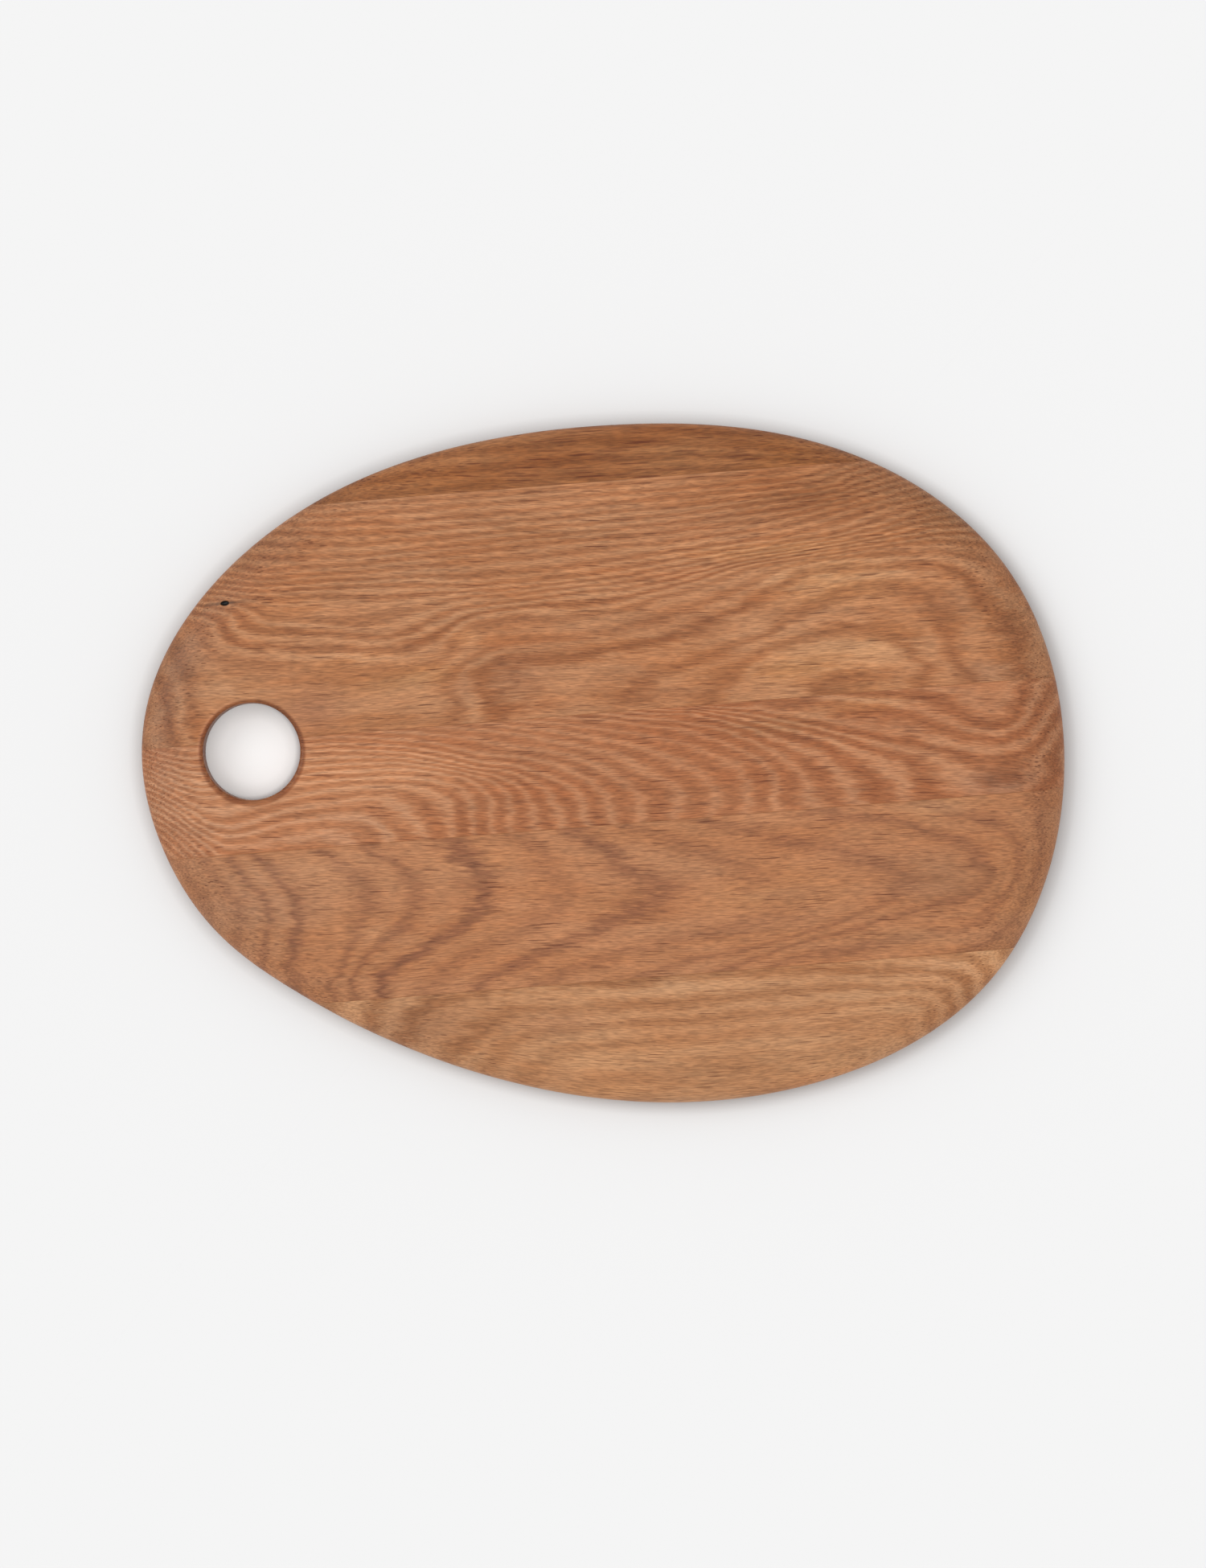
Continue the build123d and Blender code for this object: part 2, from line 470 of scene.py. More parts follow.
        (0, 0.7, [(112, -97), (130, -99), (141, -100.5), (147.5, -102), (150, -106),
                  (150.5, -113)]),
        (1, 0.6, [(-75, -121), (-68, -115), (-63, -110), (-57, -106.5), (-49, -103.5), (-38, -102),
                  (0, -104), (80, -103), (118, -105), (132, -106), (139, -109), (142, -113.5),
                  (142, -120)]),
        (2, 0.4, [(-58, -124), (-52, -117), (-40, -112), (0, -112), (60, -112), (112, -111),
                  (126, -111.5), (132, -116), (132.5, -125)]),
        (3, 0.35, [(-40, -127), (-30, -123), (-20, -120), (23, -119.5), (80, -120), (105, -117),
                   (118, -117.5), (122, -121), (123, -130)]),
        (4, 0.35, [(-8, -137), (10, -136.5), (30, -133), (50, -133), (66, -136), (80, -139)]),
    ],
}

LINE_STEP = 8.0       # spacing of the points that hold a drawn line, along its curve
FIBRE_STRETCH = 2.5   # rings change this much more slowly along the fibres than across them
FIELD_SLACK = 0.7     # how loosely the ring field may follow the drawn lines
NO_GAP = 1e-12        # keeps the logarithm finite at the held point itself


def smooth_line(drawn):
    """Evenly spread points along a smooth curve through the drawn points."""
    points = np.array(drawn, float)
    padded = np.vstack([2 * points[0] - points[1], points, 2 * points[-1] - points[-2]])
    samples = [points[:1]]
    for before, start, end, after in zip(padded, padded[1:], padded[2:], padded[3:]):
        steps = max(1, round(np.hypot(*(end - start)) / LINE_STEP))
        share = np.arange(1, steps + 1)[:, None] / steps
        bend = (2 * before - 5 * start + 4 * end - after) * share ** 2
        twist = (3 * start - before - 3 * end + after) * share ** 3
        samples.append((2 * start + (end - before) * share + bend + twist) / 2)
    return np.vstack(samples)


def thin_plate(squares):
    """The bending shape of a thin plate against the squared distance from a held point."""
    return 0.5 * squares * np.log(squares + NO_GAP)


def ring_field(rows):
    """The ring number as a function of X, Y: the height of a thin plate held by the drawn lines."""
    lines = [smooth_line(line) for _, _, line in rows]
    held = np.vstack(lines) / [FIBRE_STRETCH, 1]
    numbers = np.repeat([float(ring) for ring, _, _ in rows], [len(line) for line in lines])
    gaps = held[:, None] - held[None]
    plate = thin_plate((gaps ** 2).sum(2)) + FIELD_SLACK * np.eye(len(held))
    flat = np.column_stack([np.ones(len(held)), held])
    system = np.block([[plate, flat], [flat.T, np.zeros((3, 3))]])
    weights = np.linalg.solve(system, np.concatenate([numbers, np.zeros(3)]))

    def field(points):
        places = points / [FIBRE_STRETCH, 1]
        result = weights[-3] + places @ weights[-2:]
        for point, weight in zip(held, weights):
            result += weight * thin_plate(((places - point) ** 2).sum(1))
        return result

    return field


def store(mesh, name, values):
    """Stores one number for each vertex, for the materials to read."""
    attribute = mesh.attributes.new(name, "FLOAT", "POINT")
    attribute.data.foreach_set("value", values.astype(np.float32))


def draw_rings(mesh, stave, ring_tilt):
    """Stores each vertex's ring number and how strongly the ring shows there."""
    corners = np.empty(len(mesh.vertices) * 3)
    mesh.vertices.foreach_get("co", corners)
    corners = corners.reshape(-1, 3) / MM
    rows = RING_LINES[stave]
    top = Sheet(THICKNESS, TOP_ROLL).edge_height(inset(corners[:, :2]))
    rings = ring_field(rows)(corners[:, :2]) - ring_tilt * (top - corners[:, 2])
    store(mesh, "rings", rings)
    numbers = [ring for ring, _, _ in rows]
    strengths = [strength for _, strength, _ in rows]
    store(mesh, "ring_strength", np.interp(rings, numbers, strengths))


# ---- Shader helper ----

FIBRE_BEND_SIZE = (150, 70, 70)    # how long and how wide the slow bends in the fibres are
FIBRE_BEND = 16.0          # how far they sway
SPINDLE_CORE = 0.6         # the share of a spindle's width that keeps its full strength
FAINTEST_SPINDLE = 0.2
OIL_SHEEN = 0.3
OIL_GLOW = 0.025           # light that the oiled surface adds on top of its paint
DARKEST_PAINT = 0.004
STUDIO_GAIN = 1.14         # how much brighter than its own paint a level white surface looks


def linear(share):
    """The light that a colour value from 0 to 1 on a screen stands for."""
    return share / 12.92 if share <= 0.04045 else ((share + 0.055) / 1.055) ** 2.4


def seen(red, green, blue):
    """Paint that looks like this 0 to 255 colour when it lies level under the studio light."""
    paints = [(linear(value / 255) - OIL_GLOW) / STUDIO_GAIN for value in (red, green, blue)]
    return tuple(max(paint, DARKEST_PAINT) for paint in paints) + (1.0,)


def per_metre(lengths):
    """How many of each of these lengths in millimetres fit in a metre."""
    return [1 / (length * MM) for length in lengths]


class Nodes:
    """Adds shader nodes to one new material. Every value may be a number or another node's output."""

    def __init__(self, name, fibre_tilt=0.0):
        self.material = bpy.data.materials.new(name)
        self.material.use_nodes = True
        self.tree = self.material.node_tree
        self.tree.nodes.clear()
        self.here = self.add("ShaderNodeTexCoord", {}).outputs["Object"]
        self.grain = self.fibre_place(fibre_tilt)

    def add(self, kind, values, **settings):
        node = self.tree.nodes.new(kind)
        for name, value in settings.items():
            setattr(node, name, value)
        for key, value in values.items():
            if isinstance(value, bpy.types.NodeSocket):
                self.tree.links.new(value, node.inputs[key])
            else:
                node.inputs[key].default_value = value
        return node

    def math(self, operation, *values):
        return self.add("ShaderNodeMath", dict(enumerate(values)), operation=operation).outputs[0]

    def vector(self, operation, *values):
        return self.add("ShaderNodeVectorMath", dict(enumerate(values)), operation=operation).outputs[0]

    def times(self, first, second):
        return self.math("MULTIPLY", first, second)

    def less(self, value):
        """1 less the value."""
        return self.math("SUBTRACT", 1.0, value)

    def part(self, vector, axis):
        """The X, Y or Z of a vector."""
        return self.add("ShaderNodeSeparateXYZ", {"Vector": vector}).outputs[axis]

    def ease(self, value, low, high):
        """Runs smoothly from 0 at low to 1 at high."""
        values = {"Value": value, "From Min": low, "From Max": high}
        return self.add("ShaderNodeMapRange", values, interpolation_type="SMOOTHSTEP").outputs[0]

    def span(self, value, low, high):
        """Runs evenly from low at 0 to high at 1."""
        values = {"Value": value, "To Min": low, "To Max": high}
        return self.add("ShaderNodeMapRange", values).outputs[0]

    def mix(self, factor, first, second, blend="MIX"):
        values = {0: factor, 6: first, 7: second}
        return self.add("ShaderNodeMix", values, data_type="RGBA", blend_type=blend).outputs[2]

    def scaled(self, colour, factor):
        """The colour times the factor, which may be a colour itself."""
        return self.mix(1.0, colour, factor, blend="MULTIPLY")

    def attribute(self, name):
        return self.add("ShaderNodeAttribute", {}, attribute_name=name).outputs["Fac"]

    def fibre_place(self, tilt):
        """The place in the board once its fibres are turned level and their bends straightened."""
        values = {"Vector": self.here, "Angle": -tilt}
        level = self.add("ShaderNodeVectorRotate", values, rotation_type="Z_AXIS").outputs[0]
        where = self.vector("MULTIPLY", level, per_metre(FIBRE_BEND_SIZE))
        bends = self.add("ShaderNodeTexNoise", {"Vector": where, "Scale": 1.0, "Detail": 0.0})
        sway = self.times(bends.outputs["Fac"], FIBRE_BEND * MM)
        offset = self.add("ShaderNodeCombineXYZ", {"Y": sway}).outputs[0]
        return self.vector("ADD", level, offset)

    def place(self, size, shift):
        """The place among the fibres, counted in boxes of this size in millimetres."""
        return self.vector("MULTIPLY_ADD", self.grain, per_metre(size), (shift, shift, shift))

    def spot(self, centre, radii, core=0.0):
        """1 at a point of the top view, fading to 0 at these radii. It stays 1 over the core share."""
        away = self.vector("SUBTRACT", self.here, (centre[0] * MM, centre[1] * MM, 0))
        share = self.vector("MULTIPLY", away, (*per_metre(radii), 0))
        reach = self.add("ShaderNodeVectorMath", {0: share}, operation="LENGTH").outputs["Value"]
        return self.less(self.ease(reach, core, 1.0))

    def noise(self, size, shift, detail):
        """Soft noise whose blobs are about this size in millimetres. It averages 0.5."""
        values = {"Vector": self.place(size, shift), "Scale": 1.0, "Detail": detail}
        return self.add("ShaderNodeTexNoise", values).outputs["Fac"]

    def spindles(self, size, shift, width):
        """Scattered spindles, one in each box of this size and each of its own strength up to 1.
        width is half a spindle's share of its box."""
        cells = self.add("ShaderNodeTexVoronoi", {"Vector": self.place(size, shift), "Scale": 1.0})
        share = self.math("DIVIDE", cells.outputs["Distance"], width)
        body = self.less(self.ease(share, SPINDLE_CORE, 1.0))
        chance = self.add("ShaderNodeSeparateColor", {"Color": cells.outputs["Color"]}).outputs[0]
        return self.times(body, self.span(chance, FAINTEST_SPINDLE, 1.0))

    def finish(self, colour, roughness, height, depth_mm):
        """Ends the material with an oiled surface whose relief is height times depth_mm."""
        relief = {"Height": height, "Distance": depth_mm * MM, "Strength": 1.0}
        bump = self.add("ShaderNodeBump", relief)
        values = {
            "Base Color": colour,
            "Roughness": roughness,
            "Normal": bump.outputs[0],
            "Specular IOR Level": OIL_SHEEN,
        }
        surface = self.add("ShaderNodeBsdfPrincipled", values)
        self.add("ShaderNodeOutputMaterial", {"Surface": surface.outputs[0]})
        return self.material


# ---- Oak ----

# Colours are as seen. early is the dark porous wood round each ring line, late is the dense wood
# between, warm is the redder tone that drifts through it and glint is its palest fibres.
# band is how far the early wood reaches before and after the ring line, in rings. bloom is how
# strongly pale wood shows midway between two lines. feather is how far the edge of a ring runs
# out along the fibres, in rings. streak is how far the broader streaks stray from 1, and pores is
# how wide the pores are beside those of stave 2. end_shade is how dark the two ends get as they
# roll over, partly the end grain's darker oil and partly painted shade of the rolled edge.
# ring_tilt is in rings for each millimetre below the top face, fibre_tilt in degrees. A tone is a
# soft stain, a bleached patch or, at the left end of stave 4, a painted sheen that fades out
# towards the underside: its middle, its radii and how much it scales red, green and blue.
OAKS = {
    "stave_1_dark_far_edge": dict(
        slot="oak_dark",
        early=(118, 72, 43), late=(164, 110, 73), warm=(150, 95, 60), glint=(184, 132, 92),
        band=(0.35, 0.5), bloom=0.2, feather=0.5, streak=0.06, pores=1.5, end_shade=0.85,
        ring_tilt=0.2, fibre_tilt=-2.5,
        tones=[((-75, 130), (60, 20), (1.2, 1.27, 1.36)), ((90, 128), (25, 15), (1.1, 1.15, 1.15))],
    ),
    "stave_2_wide_knot": dict(
        slot="oak_tan", pin_knot=True,
        early=(155, 100, 68), late=(186, 131, 94), warm=(177, 118, 80), glint=(206, 154, 115),
        band=(0.42, 0.3), bloom=0.5, feather=0.35, streak=0.11, pores=1.0, end_shade=0.8,
        ring_tilt=0.22, fibre_tilt=-2.8,
        tones=[
            ((-55, 61), (10, 6), (1.35, 1.55, 1.75)),
            ((-58, 39), (9, 14), (0.84, 0.81, 0.81)),
            ((-49, 42), (7, 12), (1.1, 1.13, 1.14)),
            ((50, 101), (52, 10), (0.93, 0.85, 0.78)),
            ((168, 28), (22, 9), (0.78, 0.8, 0.86)),
            ((-104, 54), (50, 9), (1.18, 1.3, 1.42)),
            ((-128, 74), (34, 8), (1.1, 1.18, 1.28)),
            ((-137, 104), (32, 15), (0.86, 0.82, 0.76)),
            ((-180, 62), (18, 16), (0.8, 0.74, 0.68)),
            ((6, 38), (26, 7), (0.86, 0.79, 0.73)),
            ((-22, 28), (26, 6), (0.9, 0.84, 0.8)),
            ((28, 29), (26, 7), (0.88, 0.81, 0.76)),
            ((72, 119), (42, 6), (0.92, 0.84, 0.73)),
            ((-72, 47), (22, 7), (1.1, 1.18, 1.22)),
            ((-28, 54), (28, 6), (0.9, 0.84, 0.79)),
            ((36, 60), (42, 8), (0.81, 0.73, 0.66)),
            ((82, 35), (25, 10), (1.26, 1.42, 1.54)),
            ((113, 26), (26, 6), (1.16, 1.26, 1.34)),
            ((106, 73), (44, 16), (1.16, 1.3, 1.38)),
            ((106, 111), (72, 22), (0.79, 0.72, 0.62)),
            ((-36, 42), (24, 15), (0.82, 0.79, 0.8)),
            ((-157, 46), (28, 11), (1.16, 1.34, 1.56)),
            ((-124, 34), (22, 15), (0.84, 0.8, 0.84)),
            ((-85, 44), (34, 9), (1.04, 1.1, 1.1)),
            ((-190, 45), (28, 42), (0.88, 0.9, 0.93)),
            ((108, 41), (48, 14), (1.14, 1.27, 1.34)),
            ((156, 57), (20, 12), (0.8, 0.82, 0.87)),
            ((78, 88), (56, 5), (1.14, 1.24, 1.28)),
            ((40, 80), (40, 6), (0.93, 0.86, 0.8)),
            ((165, 100), (48, 28), (0.85, 0.84, 0.8)),
        ],
    ),
    "stave_3_red": dict(
        slot="oak_red",
        early=(160, 100, 68), late=(184, 125, 89), warm=(175, 114, 79), glint=(208, 154, 117),
        band=(0.4, 0.4), bloom=0.5, feather=0.35, streak=0.08, pores=1.1, end_shade=0.85,
        ring_tilt=0.35, fibre_tilt=-2.8,
        tones=[
            ((-110, 6), (84, 26), (1.32, 1.52, 1.72)),
            ((-180, 2), (46, 36), (1.17, 1.34, 1.54)),
            ((-134, -18), (74, 13), (1.2, 1.39, 1.62)),
            ((76, 12), (34, 7), (0.9, 0.93, 0.9)),
            ((112, 18), (36, 6), (1.24, 1.38, 1.4)),
            ((-84, -20), (28, 8), (1.14, 1.16, 1.16)),
            ((170, -20), (26, 11), (0.68, 0.7, 0.77)),
        ],
    ),
    "stave_4_figured": dict(
        slot="oak_figured",
        early=(144, 96, 72), late=(184, 128, 92), warm=(179, 121, 84), glint=(200, 146, 108),
        band=(0.3, 0.3), bloom=0.3, feather=0.6, streak=0.07, pores=1.0, end_shade=0.88,
        ring_tilt=0.15, fibre_tilt=-2.4,
        tones=[
            # painted sheen: a cool, pale reflection of the studio light on the left end of the stave
            ((-162, -45), (50, 35), (0.94, 1.05, 1.22)),
            ((-32, -50), (30, 26), (1.1, 1.1, 1.11)),
            ((70, -61), (46, 16), (1.16, 1.24, 1.24)),
            ((-122, -45), (20, 20), (1.06, 1.1, 1.14)),
            ((-130, -33), (50, 11), (1.16, 1.29, 1.46)),
            ((144, -28), (28, 7), (1.17, 1.36, 1.5)),
            ((-58, -35), (26, 10), (1.12, 1.18, 1.2)),
            ((-106, -64), (26, 8), (1.08, 1.2, 1.34)),
            ((178, -76), (18, 12), (1.14, 1.2, 1.22)),
            ((128, -84), (32, 8), (1.05, 1.15, 1.2)),
            ((140, -61), (36, 18), (0.84, 0.88, 0.95)),
            ((-120, -87), (35, 14), (0.93, 0.92, 0.9)),
        ],
    ),
    "stave_5_light_near_edge": dict(
        slot="oak_light",
        early=(154, 102, 69), late=(193, 142, 103), warm=(186, 132, 93), glint=(210, 161, 122),
        band=(0.4, 0.4), bloom=0.3, feather=0.5, streak=0.05, pores=0.9, end_shade=0.97,
        ring_tilt=0.2, fibre_tilt=-4.0,
        tones=[
            ((20, -97), (60, 6), (1.05, 1.07, 1.1)),
            ((60, -112), (90, 25), (1.02, 1.03, 1.05)),
            ((-88, -106), (44, 20), (0.78, 0.73, 0.72)),
            ((-30, -109), (32, 9), (0.87, 0.8, 0.78)),
            ((90, -140), (42, 10), (1.28, 1.3, 1.3)),
            ((-16, -141), (38, 8), (1.18, 1.25, 1.28)),
            ((138, -98), (32, 9), (1.14, 1.2, 1.3)),
            ((0, -127), (50, 8), (1.07, 1.08, 1.08)),
            # this patch offsets the painted end shade at the corner
            ((163, -98), (24, 14), (1.32, 1.42, 1.5)),
            ((120, -105), (50, 20), (1.04, 1.05, 1.06)),
        ],
    ),
}

# The oak's noises: the size of their blobs in millimetres along the fibres and across them, a
# shift that sets each one apart from the others, and how many finer layers it has.
NOISES = {
    "wander": ((30, 8, 8), 11.0, 1),
    "ripple": ((9, 2.5, 2.5), 23.0, 1),
    "fringe": ((13, 0.9, 0.9), 5.0, 2),
    "uneven": ((34, 5, 5), 19.0, 2),
    "drift": ((70, 14, 14), 14.0, 2),
    "hue": ((60, 10, 10), 41.0, 2),
    "fine_streak": ((5, 0.5, 0.5), 27.0, 1),
    "middling_streak": ((16, 1.1, 1.1), 35.0, 2),
    "broad_streak": ((40, 4, 4), 31.0, 1),
}
SPECKLE = ((6, 1, 1), 0.0, 3)

# Rings
WANDER = 0.5              # how far slow bends and small ripples move the ring lines, in rings
RIPPLE = 0.45
UNEVEN = (0.4, 1.5)       # the faintest and the strongest stretch of a ring
BLOOM_REACH = (0.3, 0.3)  # before and after the middle between two ring lines

# Slow drifts of colour
WARM_EDGES = (0.35, 0.65)     # noise below and above these leaves late wood alone and warm alone
HUES = ((1.04, 0.98, 0.93, 1), (0.96, 1.02, 1.07, 1))

# Streaks along the fibres
STREAK_EDGES = (0.3, 0.7)     # noise below and above these is a full dark and a full pale streak
FINE_STREAK = 0.2         # how far the fine streaks stray from 1
BROAD_STREAK = 1.5        # how far the broad ones stray, beside the middling ones

# Pores: the box that holds one, its shift, and half a pore's share of the box. Short ones are
# wider in early wood than in late wood.
LONG_PORES = ((24, 0.95, 0.95), 8.0)
LONG_PORE_WIDTH = 0.25
SHORT_PORES = ((7, 0.9, 0.9), 3.0)
SHORT_PORE_WIDTHS = (0.2, 0.36)
SHORT_PORE_SHADE = 0.55   # how dark a short pore is beside a long one
PORE_SHADE = 0.68         # how far a long pore takes the wood to the colour PORE
PORE = (92, 52, 32)
PORE_DEPTH = 0.08         # in millimetres
PORE_ROUGHNESS = 0.25     # what a pore adds to the roughness of the wood
WOOD_ROUGHNESS = (0.42, 0.55)
EARLY_WOOD_SINK = 0.3     # how deep early wood lies beside a pore

# End grain with painted shade at the ends, painted shade at the hole's rim, and the knot
END_SHADE_REACH = 0.35    # how far the surface turns to the end before the painted shade is full
# Painted shade on the thumb hole's eased rim: its warm brown, where it sits and how it fades
RIM_SHADE = (0.56, 0.42, 0.3, 1)
RIM_SHADE_SHIFT = (0.1, -0.6)     # the painted rim shade reaches a little farther on the near side
RIM_SHADE_CORE = 1.5        # how far outside the wall of the hole it starts to fade
RIM_SHADE_FADE = 0.9        # how far outside the rim it is gone
KNOT_COLOUR = (40, 20, 14)
PIT_STAIN = 1.25          # how far the black reaches, in radii of the pit
PIT_CORE = 0.6            # the share of that reach where it is still full
KNOT_STREAK = (16, 1.1)
KNOT_STREAK_SHADE = 0.7

GLUE_DARK = (128, 82, 52)
GLUE_PALE = (168, 114, 78)
GLUE_ROUGHNESS = (0.35, 0.5)
GLUE_DEPTH = 0.02         # of its relief, in millimetres


def ring_band(nodes, rings, before, after):
    """1 on the ring line, fading over these shares of a ring before and after it."""
    turn = nodes.math("FRACT", rings)
    rise = nodes.ease(turn, 1 - before, 1.0)
    fall = nodes.less(nodes.ease(turn, 0.0, after))
    return nodes.math("MAXIMUM", rise, fall)


def ring_count(nodes, feather):
    """The ring number, wandering a little, with edges that run out along the fibres."""
    rings = nodes.attribute("rings")
    reaches = {"wander": WANDER, "ripple": RIPPLE, "fringe": feather}
    for name, reach in reaches.items():
        rings = nodes.math("MULTIPLY_ADD", nodes.noise(*NOISES[name]), reach, rings)
    return nodes.math("SUBTRACT", rings, sum(reaches.values()) / 2)


def streaked(nodes, colour, streak):
    """The colour with fine, middling and broad streaks along the fibres, paler and darker."""
    broad_streak = BROAD_STREAK * streak
    fine = nodes.ease(nodes.noise(*NOISES["fine_streak"]), *STREAK_EDGES)
    middling = nodes.ease(nodes.noise(*NOISES["middling_streak"]), *STREAK_EDGES)
    broad = nodes.noise(*NOISES["broad_streak"])
    fine = nodes.span(fine, 1 - FINE_STREAK, 1 + FINE_STREAK)
    middling = nodes.span(middling, 1 - streak, 1 + streak)
    broad = nodes.span(broad, 1 - broad_streak, 1 + broad_streak)
    return nodes.scaled(colour, nodes.times(nodes.times(fine, middling), broad))


def toned(nodes, colour, tones):
    """The colour with its stains, bleached patches and painted sheen, fading out below the widest line.
    """
    upper = nodes.ease(nodes.part(nodes.here, "Z"), 0.0, WIDEST_Z * MM)
    for centre, radii, scale in tones:
        spot = nodes.times(nodes.spot(centre, radii), upper)
        colour = nodes.mix(spot, colour, nodes.scaled(colour, (*scale, 1)))
    return colour


def open_pores(nodes, band, width):
    """Long thin dark dashes everywhere, and short ones crowded into the early wood."""
    late, early = SHORT_PORE_WIDTHS
    dashes = nodes.spindles(*LONG_PORES, LONG_PORE_WIDTH * width)
    short = nodes.spindles(*SHORT_PORES, nodes.span(band, late, early * width))
    return nodes.math("MAXIMUM", dashes, nodes.times(short, SHORT_PORE_SHADE))


def end_grain_and_painted_shade(nodes, darkest):
    """The ends darken as they roll over, partly as end grain drinking oil and partly as painted shade.
    """
    facing = nodes.add("ShaderNodeNewGeometry", {}).outputs["Normal"]
    end_grain = nodes.math("ABSOLUTE", nodes.part(facing, "X"))
    return nodes.span(nodes.ease(end_grain, 0.0, END_SHADE_REACH), 1.0, darkest)


def hole_shade(nodes):
    """Painted shade: the eased rim of the thumb hole darkens to a warm brown."""
    reach = RIM_RADIUS + RIM_SHADE_FADE
    core = (HOLE_RADIUS + RIM_SHADE_CORE) / reach
    rim = nodes.spot(HOLE_CENTRE + RIM_SHADE_SHIFT, (reach, reach), core)
    return nodes.mix(rim, (1, 1, 1, 1), RIM_SHADE)


def knot_stain(nodes):
    """Black inside the pit of the pin knot, and a thin dark streak either side of it."""
    pit = nodes.spot(KNOT_CENTRE, PIT_STAIN * KNOT_RADII, PIT_CORE)
    streak = nodes.spot(KNOT_CENTRE, KNOT_STREAK)
    return nodes.math("MAXIMUM", pit, nodes.times(streak, KNOT_STREAK_SHADE))


def oak(look):
    """One stave's material."""
    nodes = Nodes(look["slot"], math.radians(look["fibre_tilt"]))
    rings = ring_count(nodes, look["feather"])
    uneven = nodes.span(nodes.noise(*NOISES["uneven"]), *UNEVEN)
    strength = nodes.times(uneven, nodes.attribute("ring_strength"))
    band = nodes.times(ring_band(nodes, rings, *look["band"]), strength)
    bloom = ring_band(nodes, nodes.math("ADD", rings, 0.5), *BLOOM_REACH)
    bloom = nodes.times(nodes.times(bloom, strength), look["bloom"])

    drift = nodes.noise(*NOISES["drift"])
    colour = nodes.mix(nodes.ease(drift, *WARM_EDGES), seen(*look["late"]), seen(*look["warm"]))
    colour = nodes.mix(bloom, colour, seen(*look["glint"]))
    colour = nodes.mix(band, colour, seen(*look["early"]))
    colour = nodes.scaled(colour, nodes.mix(nodes.noise(*NOISES["hue"]), *HUES))
    colour = streaked(nodes, colour, look["streak"])
    colour = toned(nodes, colour, look["tones"])

    pores = open_pores(nodes, band, look["pores"])
    colour = nodes.mix(nodes.times(pores, PORE_SHADE), colour, seen(*PORE))
    if "pin_knot" in look:
        colour = nodes.mix(knot_stain(nodes), colour, seen(*KNOT_COLOUR))
    # painted shade where the ends roll over, added to the end grain's darker oil
    colour = nodes.scaled(colour, end_grain_and_painted_shade(nodes, look["end_shade"]))
    # painted shade on the eased rim of the thumb hole
    colour = nodes.scaled(colour, hole_shade(nodes))

    roughness = nodes.math("MULTIPLY_ADD", pores, PORE_ROUGHNESS, nodes.span(drift, *WOOD_ROUGHNESS))
    height = nodes.math("SUBTRACT", nodes.times(band, -EARLY_WOOD_SINK), pores)
    return nodes.finish(colour, roughness, height, PORE_DEPTH)


def glue():
    """The material of all four glue films."""
    nodes = Nodes("cured_glue")
    speckle = nodes.noise(*SPECKLE)
    colour = nodes.mix(speckle, seen(*GLUE_DARK), seen(*GLUE_PALE))
    return nodes.finish(colour, nodes.span(speckle, *GLUE_ROUGHNESS), speckle, GLUE_DEPTH)


# ---- Pieces ----

def place_piece(mesh, node, material):
    """Puts a finished mesh in the scene, in place of its CAD node."""
    mesh.materials.append(material)
    piece = bpy.data.objects.new(node + "_look", mesh)
    bpy.context.scene.collection.objects.link(piece)
    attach(piece, "root")
    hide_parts(node)


def build_board():
    """The five staves and the four glue films."""
    blank = board_blank()
    cured_glue = glue()
    for node in sorted(frame["nodes"]):
        mesh = cut_piece(blank, node)
        if node in OAKS:
            look = OAKS[node]
            draw_rings(mesh, node, look["ring_tilt"])
            place_piece(mesh, node, oak(look))
        else:
            place_piece(mesh, node, cured_glue)
    blank.free()


# ---- Studio ----

CAMERA_HEIGHT = 2.5         # above the board's widest line
VIEW_HEIGHT = 0.6813        # length that the picture's tall side spans at the widest line
VIEW_CENTRE = (-0.0011, -0.0072)
VIEW_TURN = math.radians(-4.55)
FLOOR_SIZE = 40.0
PAPER = 0.8
BACKDROP = linear(245 / 255)    # how bright the bare paper and the backdrop look
PAINTED_SHADOW_REACH = 8.0         # how far the painted contact shadow reaches round the board
PAINTED_SHADOW_DEPTH = 0.4         # how dark the painted shadow gets where the board shuts out all the sky
SKY = 0.92
KEY = BACKDROP / PAPER - SKY
KEY_LEAN = math.radians(48)
KEY_BEARING = math.radians(-24)
KEY_SPREAD = math.radians(40)
FILL_HEIGHT = 2.2
FILL_RADIUS = 22.5          # of the lit circle on the floor
FILL_POWER = 78.0
FILL_FADE = 0.25
FILL_COLOUR = (1.0, 0.98, 0.955)
FILL_SHIFT = (-2.0, 1.0)    # the lamp hangs a little off the middle of the hole


def paper_with_painted_shadow():
    """Pale paper with a painted contact shadow close to the board."""
    nodes = Nodes("paper_with_painted_shadow")
    # painted shadow: the paper darkens where the board shuts out the sky
    open_sky = nodes.add("ShaderNodeAmbientOcclusion", {"Distance": PAINTED_SHADOW_REACH * MM}).outputs["AO"]
    tone = nodes.times(nodes.span(open_sky, 1 - PAINTED_SHADOW_DEPTH, 1.0), PAPER)
    paper = nodes.add("ShaderNodeBsdfDiffuse", {"Color": tone})
    nodes.add("ShaderNodeOutputMaterial", {"Surface": paper.outputs[0]})
    return nodes.material


def build_floor():
    """The plain floor under the board."""
    half = FLOOR_SIZE / 2
    mesh = bpy.data.meshes.new("floor")
    corners = [(-half, -half, 0), (half, -half, 0), (half, half, 0), (-half, half, 0)]
    mesh.from_pydata(corners, [], [(0, 1, 2, 3)])
    mesh.materials.append(paper_with_painted_shadow())
    floor = bpy.data.objects.new("floor", mesh)
    bpy.context.scene.collection.objects.link(floor)


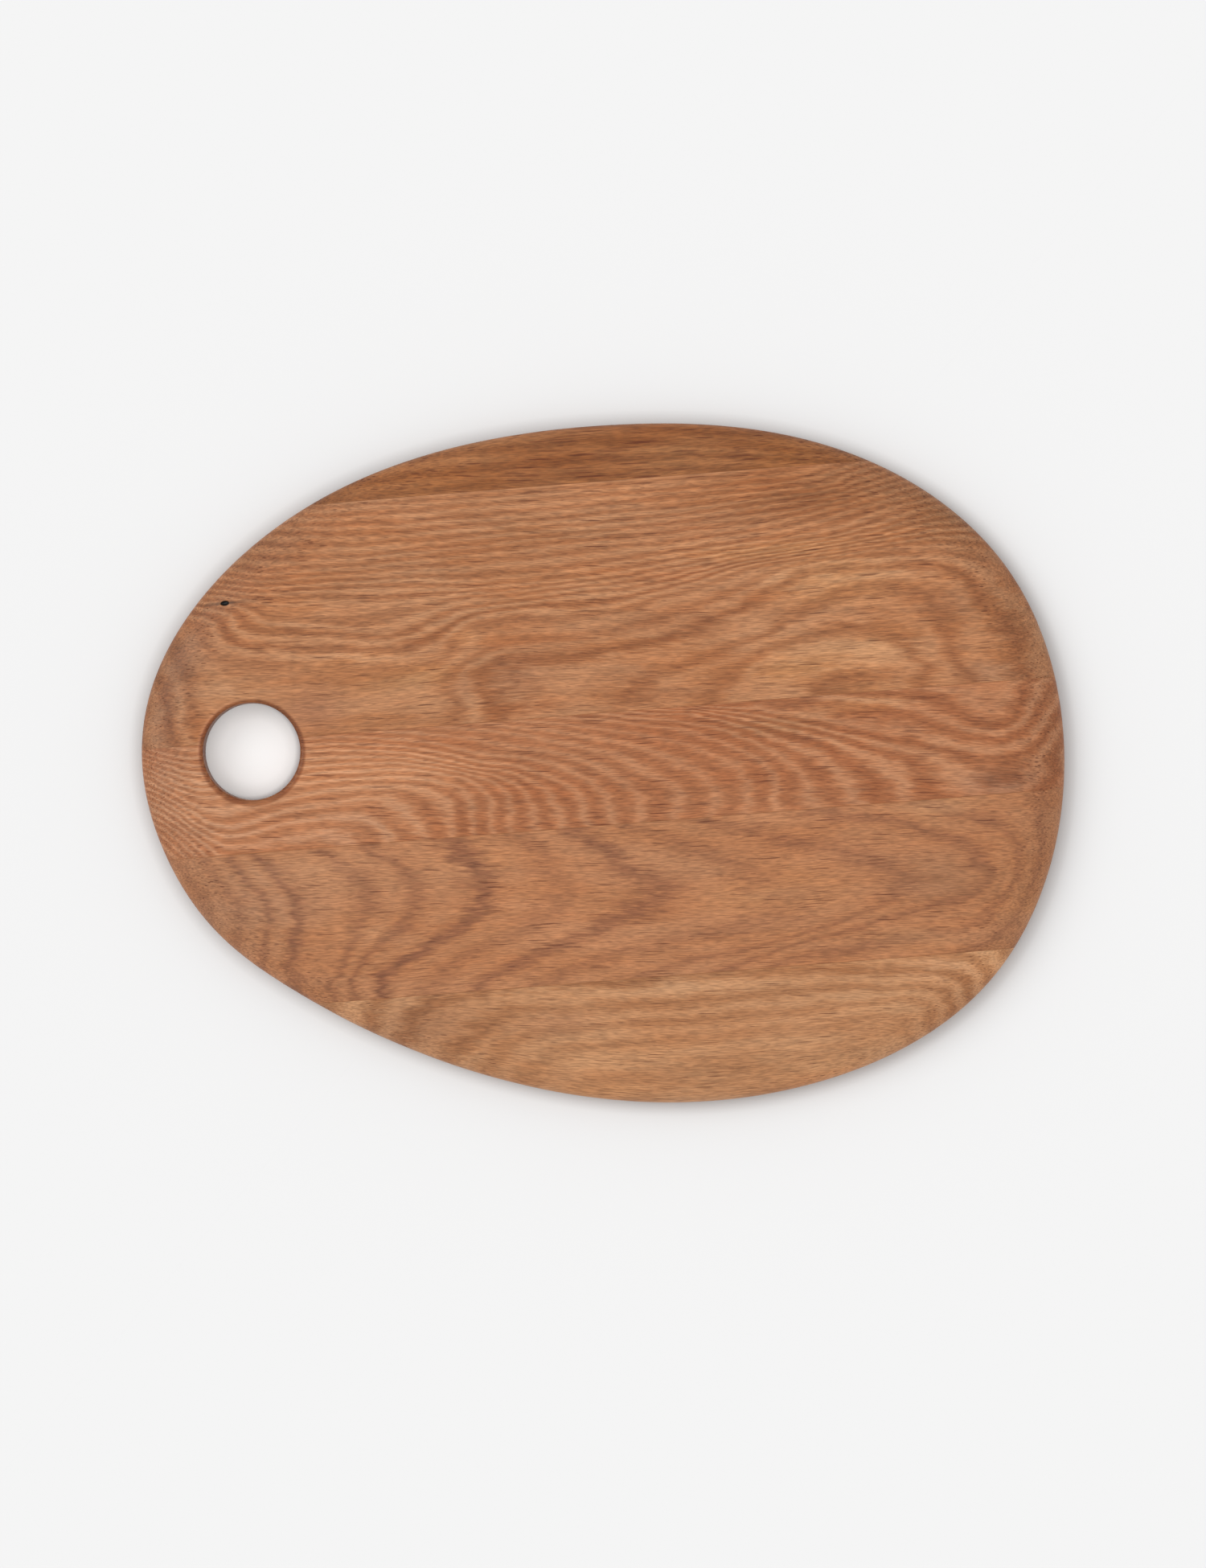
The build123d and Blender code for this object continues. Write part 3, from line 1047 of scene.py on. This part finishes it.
def add_lamp(name, kind, place, turn, energy, **settings):
    """A lamp at this place in metres, turned about X, Y and Z."""
    lamp = bpy.data.lights.new(name, kind)
    lamp.energy = energy
    for setting, value in settings.items():
        setattr(lamp, setting, value)
    holder = bpy.data.objects.new(name, lamp)
    holder.location = place
    holder.rotation_euler = turn
    bpy.context.scene.collection.objects.link(holder)


def build_lamps():
    """A weak soft key from the far left, and a small lamp that lights the floor in the hole."""
    key_power = KEY * math.pi / math.cos(KEY_LEAN)
    add_lamp("key", "SUN", (0, 0, 1), (0, -KEY_LEAN, KEY_BEARING), key_power, angle=KEY_SPREAD)
    over_hole = (*((HOLE_CENTRE + FILL_SHIFT) * MM), FILL_HEIGHT)
    cone = {"spot_size": 2 * math.atan(FILL_RADIUS * MM / FILL_HEIGHT), "spot_blend": FILL_FADE}
    add_lamp("hole_fill", "SPOT", over_hole, (0, 0, 0), FILL_POWER, color=FILL_COLOUR, **cone)


def build_sky():
    """An even white sky. The camera sees it as bright as the bare paper."""
    world = bpy.data.worlds.new("studio")
    world.use_nodes = True
    tree = world.node_tree
    tree.nodes.clear()
    path = tree.nodes.new("ShaderNodeLightPath")
    level = tree.nodes.new("ShaderNodeMapRange")
    level.inputs["To Min"].default_value = SKY
    level.inputs["To Max"].default_value = BACKDROP
    sky = tree.nodes.new("ShaderNodeBackground")
    sky.inputs["Color"].default_value = (1, 1, 1, 1)
    output = tree.nodes.new("ShaderNodeOutputWorld")
    tree.links.new(path.outputs["Is Camera Ray"], level.inputs["Value"])
    tree.links.new(level.outputs[0], sky.inputs["Strength"])
    tree.links.new(sky.outputs[0], output.inputs["Surface"])
    bpy.context.scene.world = world


def build_camera():
    """A camera straight above the board, turned as the picture is."""
    camera = bpy.data.objects.new("camera", bpy.data.cameras.new("camera"))
    camera.location = (*VIEW_CENTRE, WIDEST_Z * MM + CAMERA_HEIGHT)
    camera.rotation_euler = (0, 0, VIEW_TURN)
    camera.data.angle = 2 * math.atan(VIEW_HEIGHT / 2 / CAMERA_HEIGHT)
    camera.data.clip_end = 2 * FLOOR_SIZE
    bpy.context.scene.collection.objects.link(camera)
    bpy.context.scene.camera = camera


build_board()
build_floor()
build_lamps()
build_sky()
build_camera()
bpy.context.scene.view_settings.view_transform = "Standard"
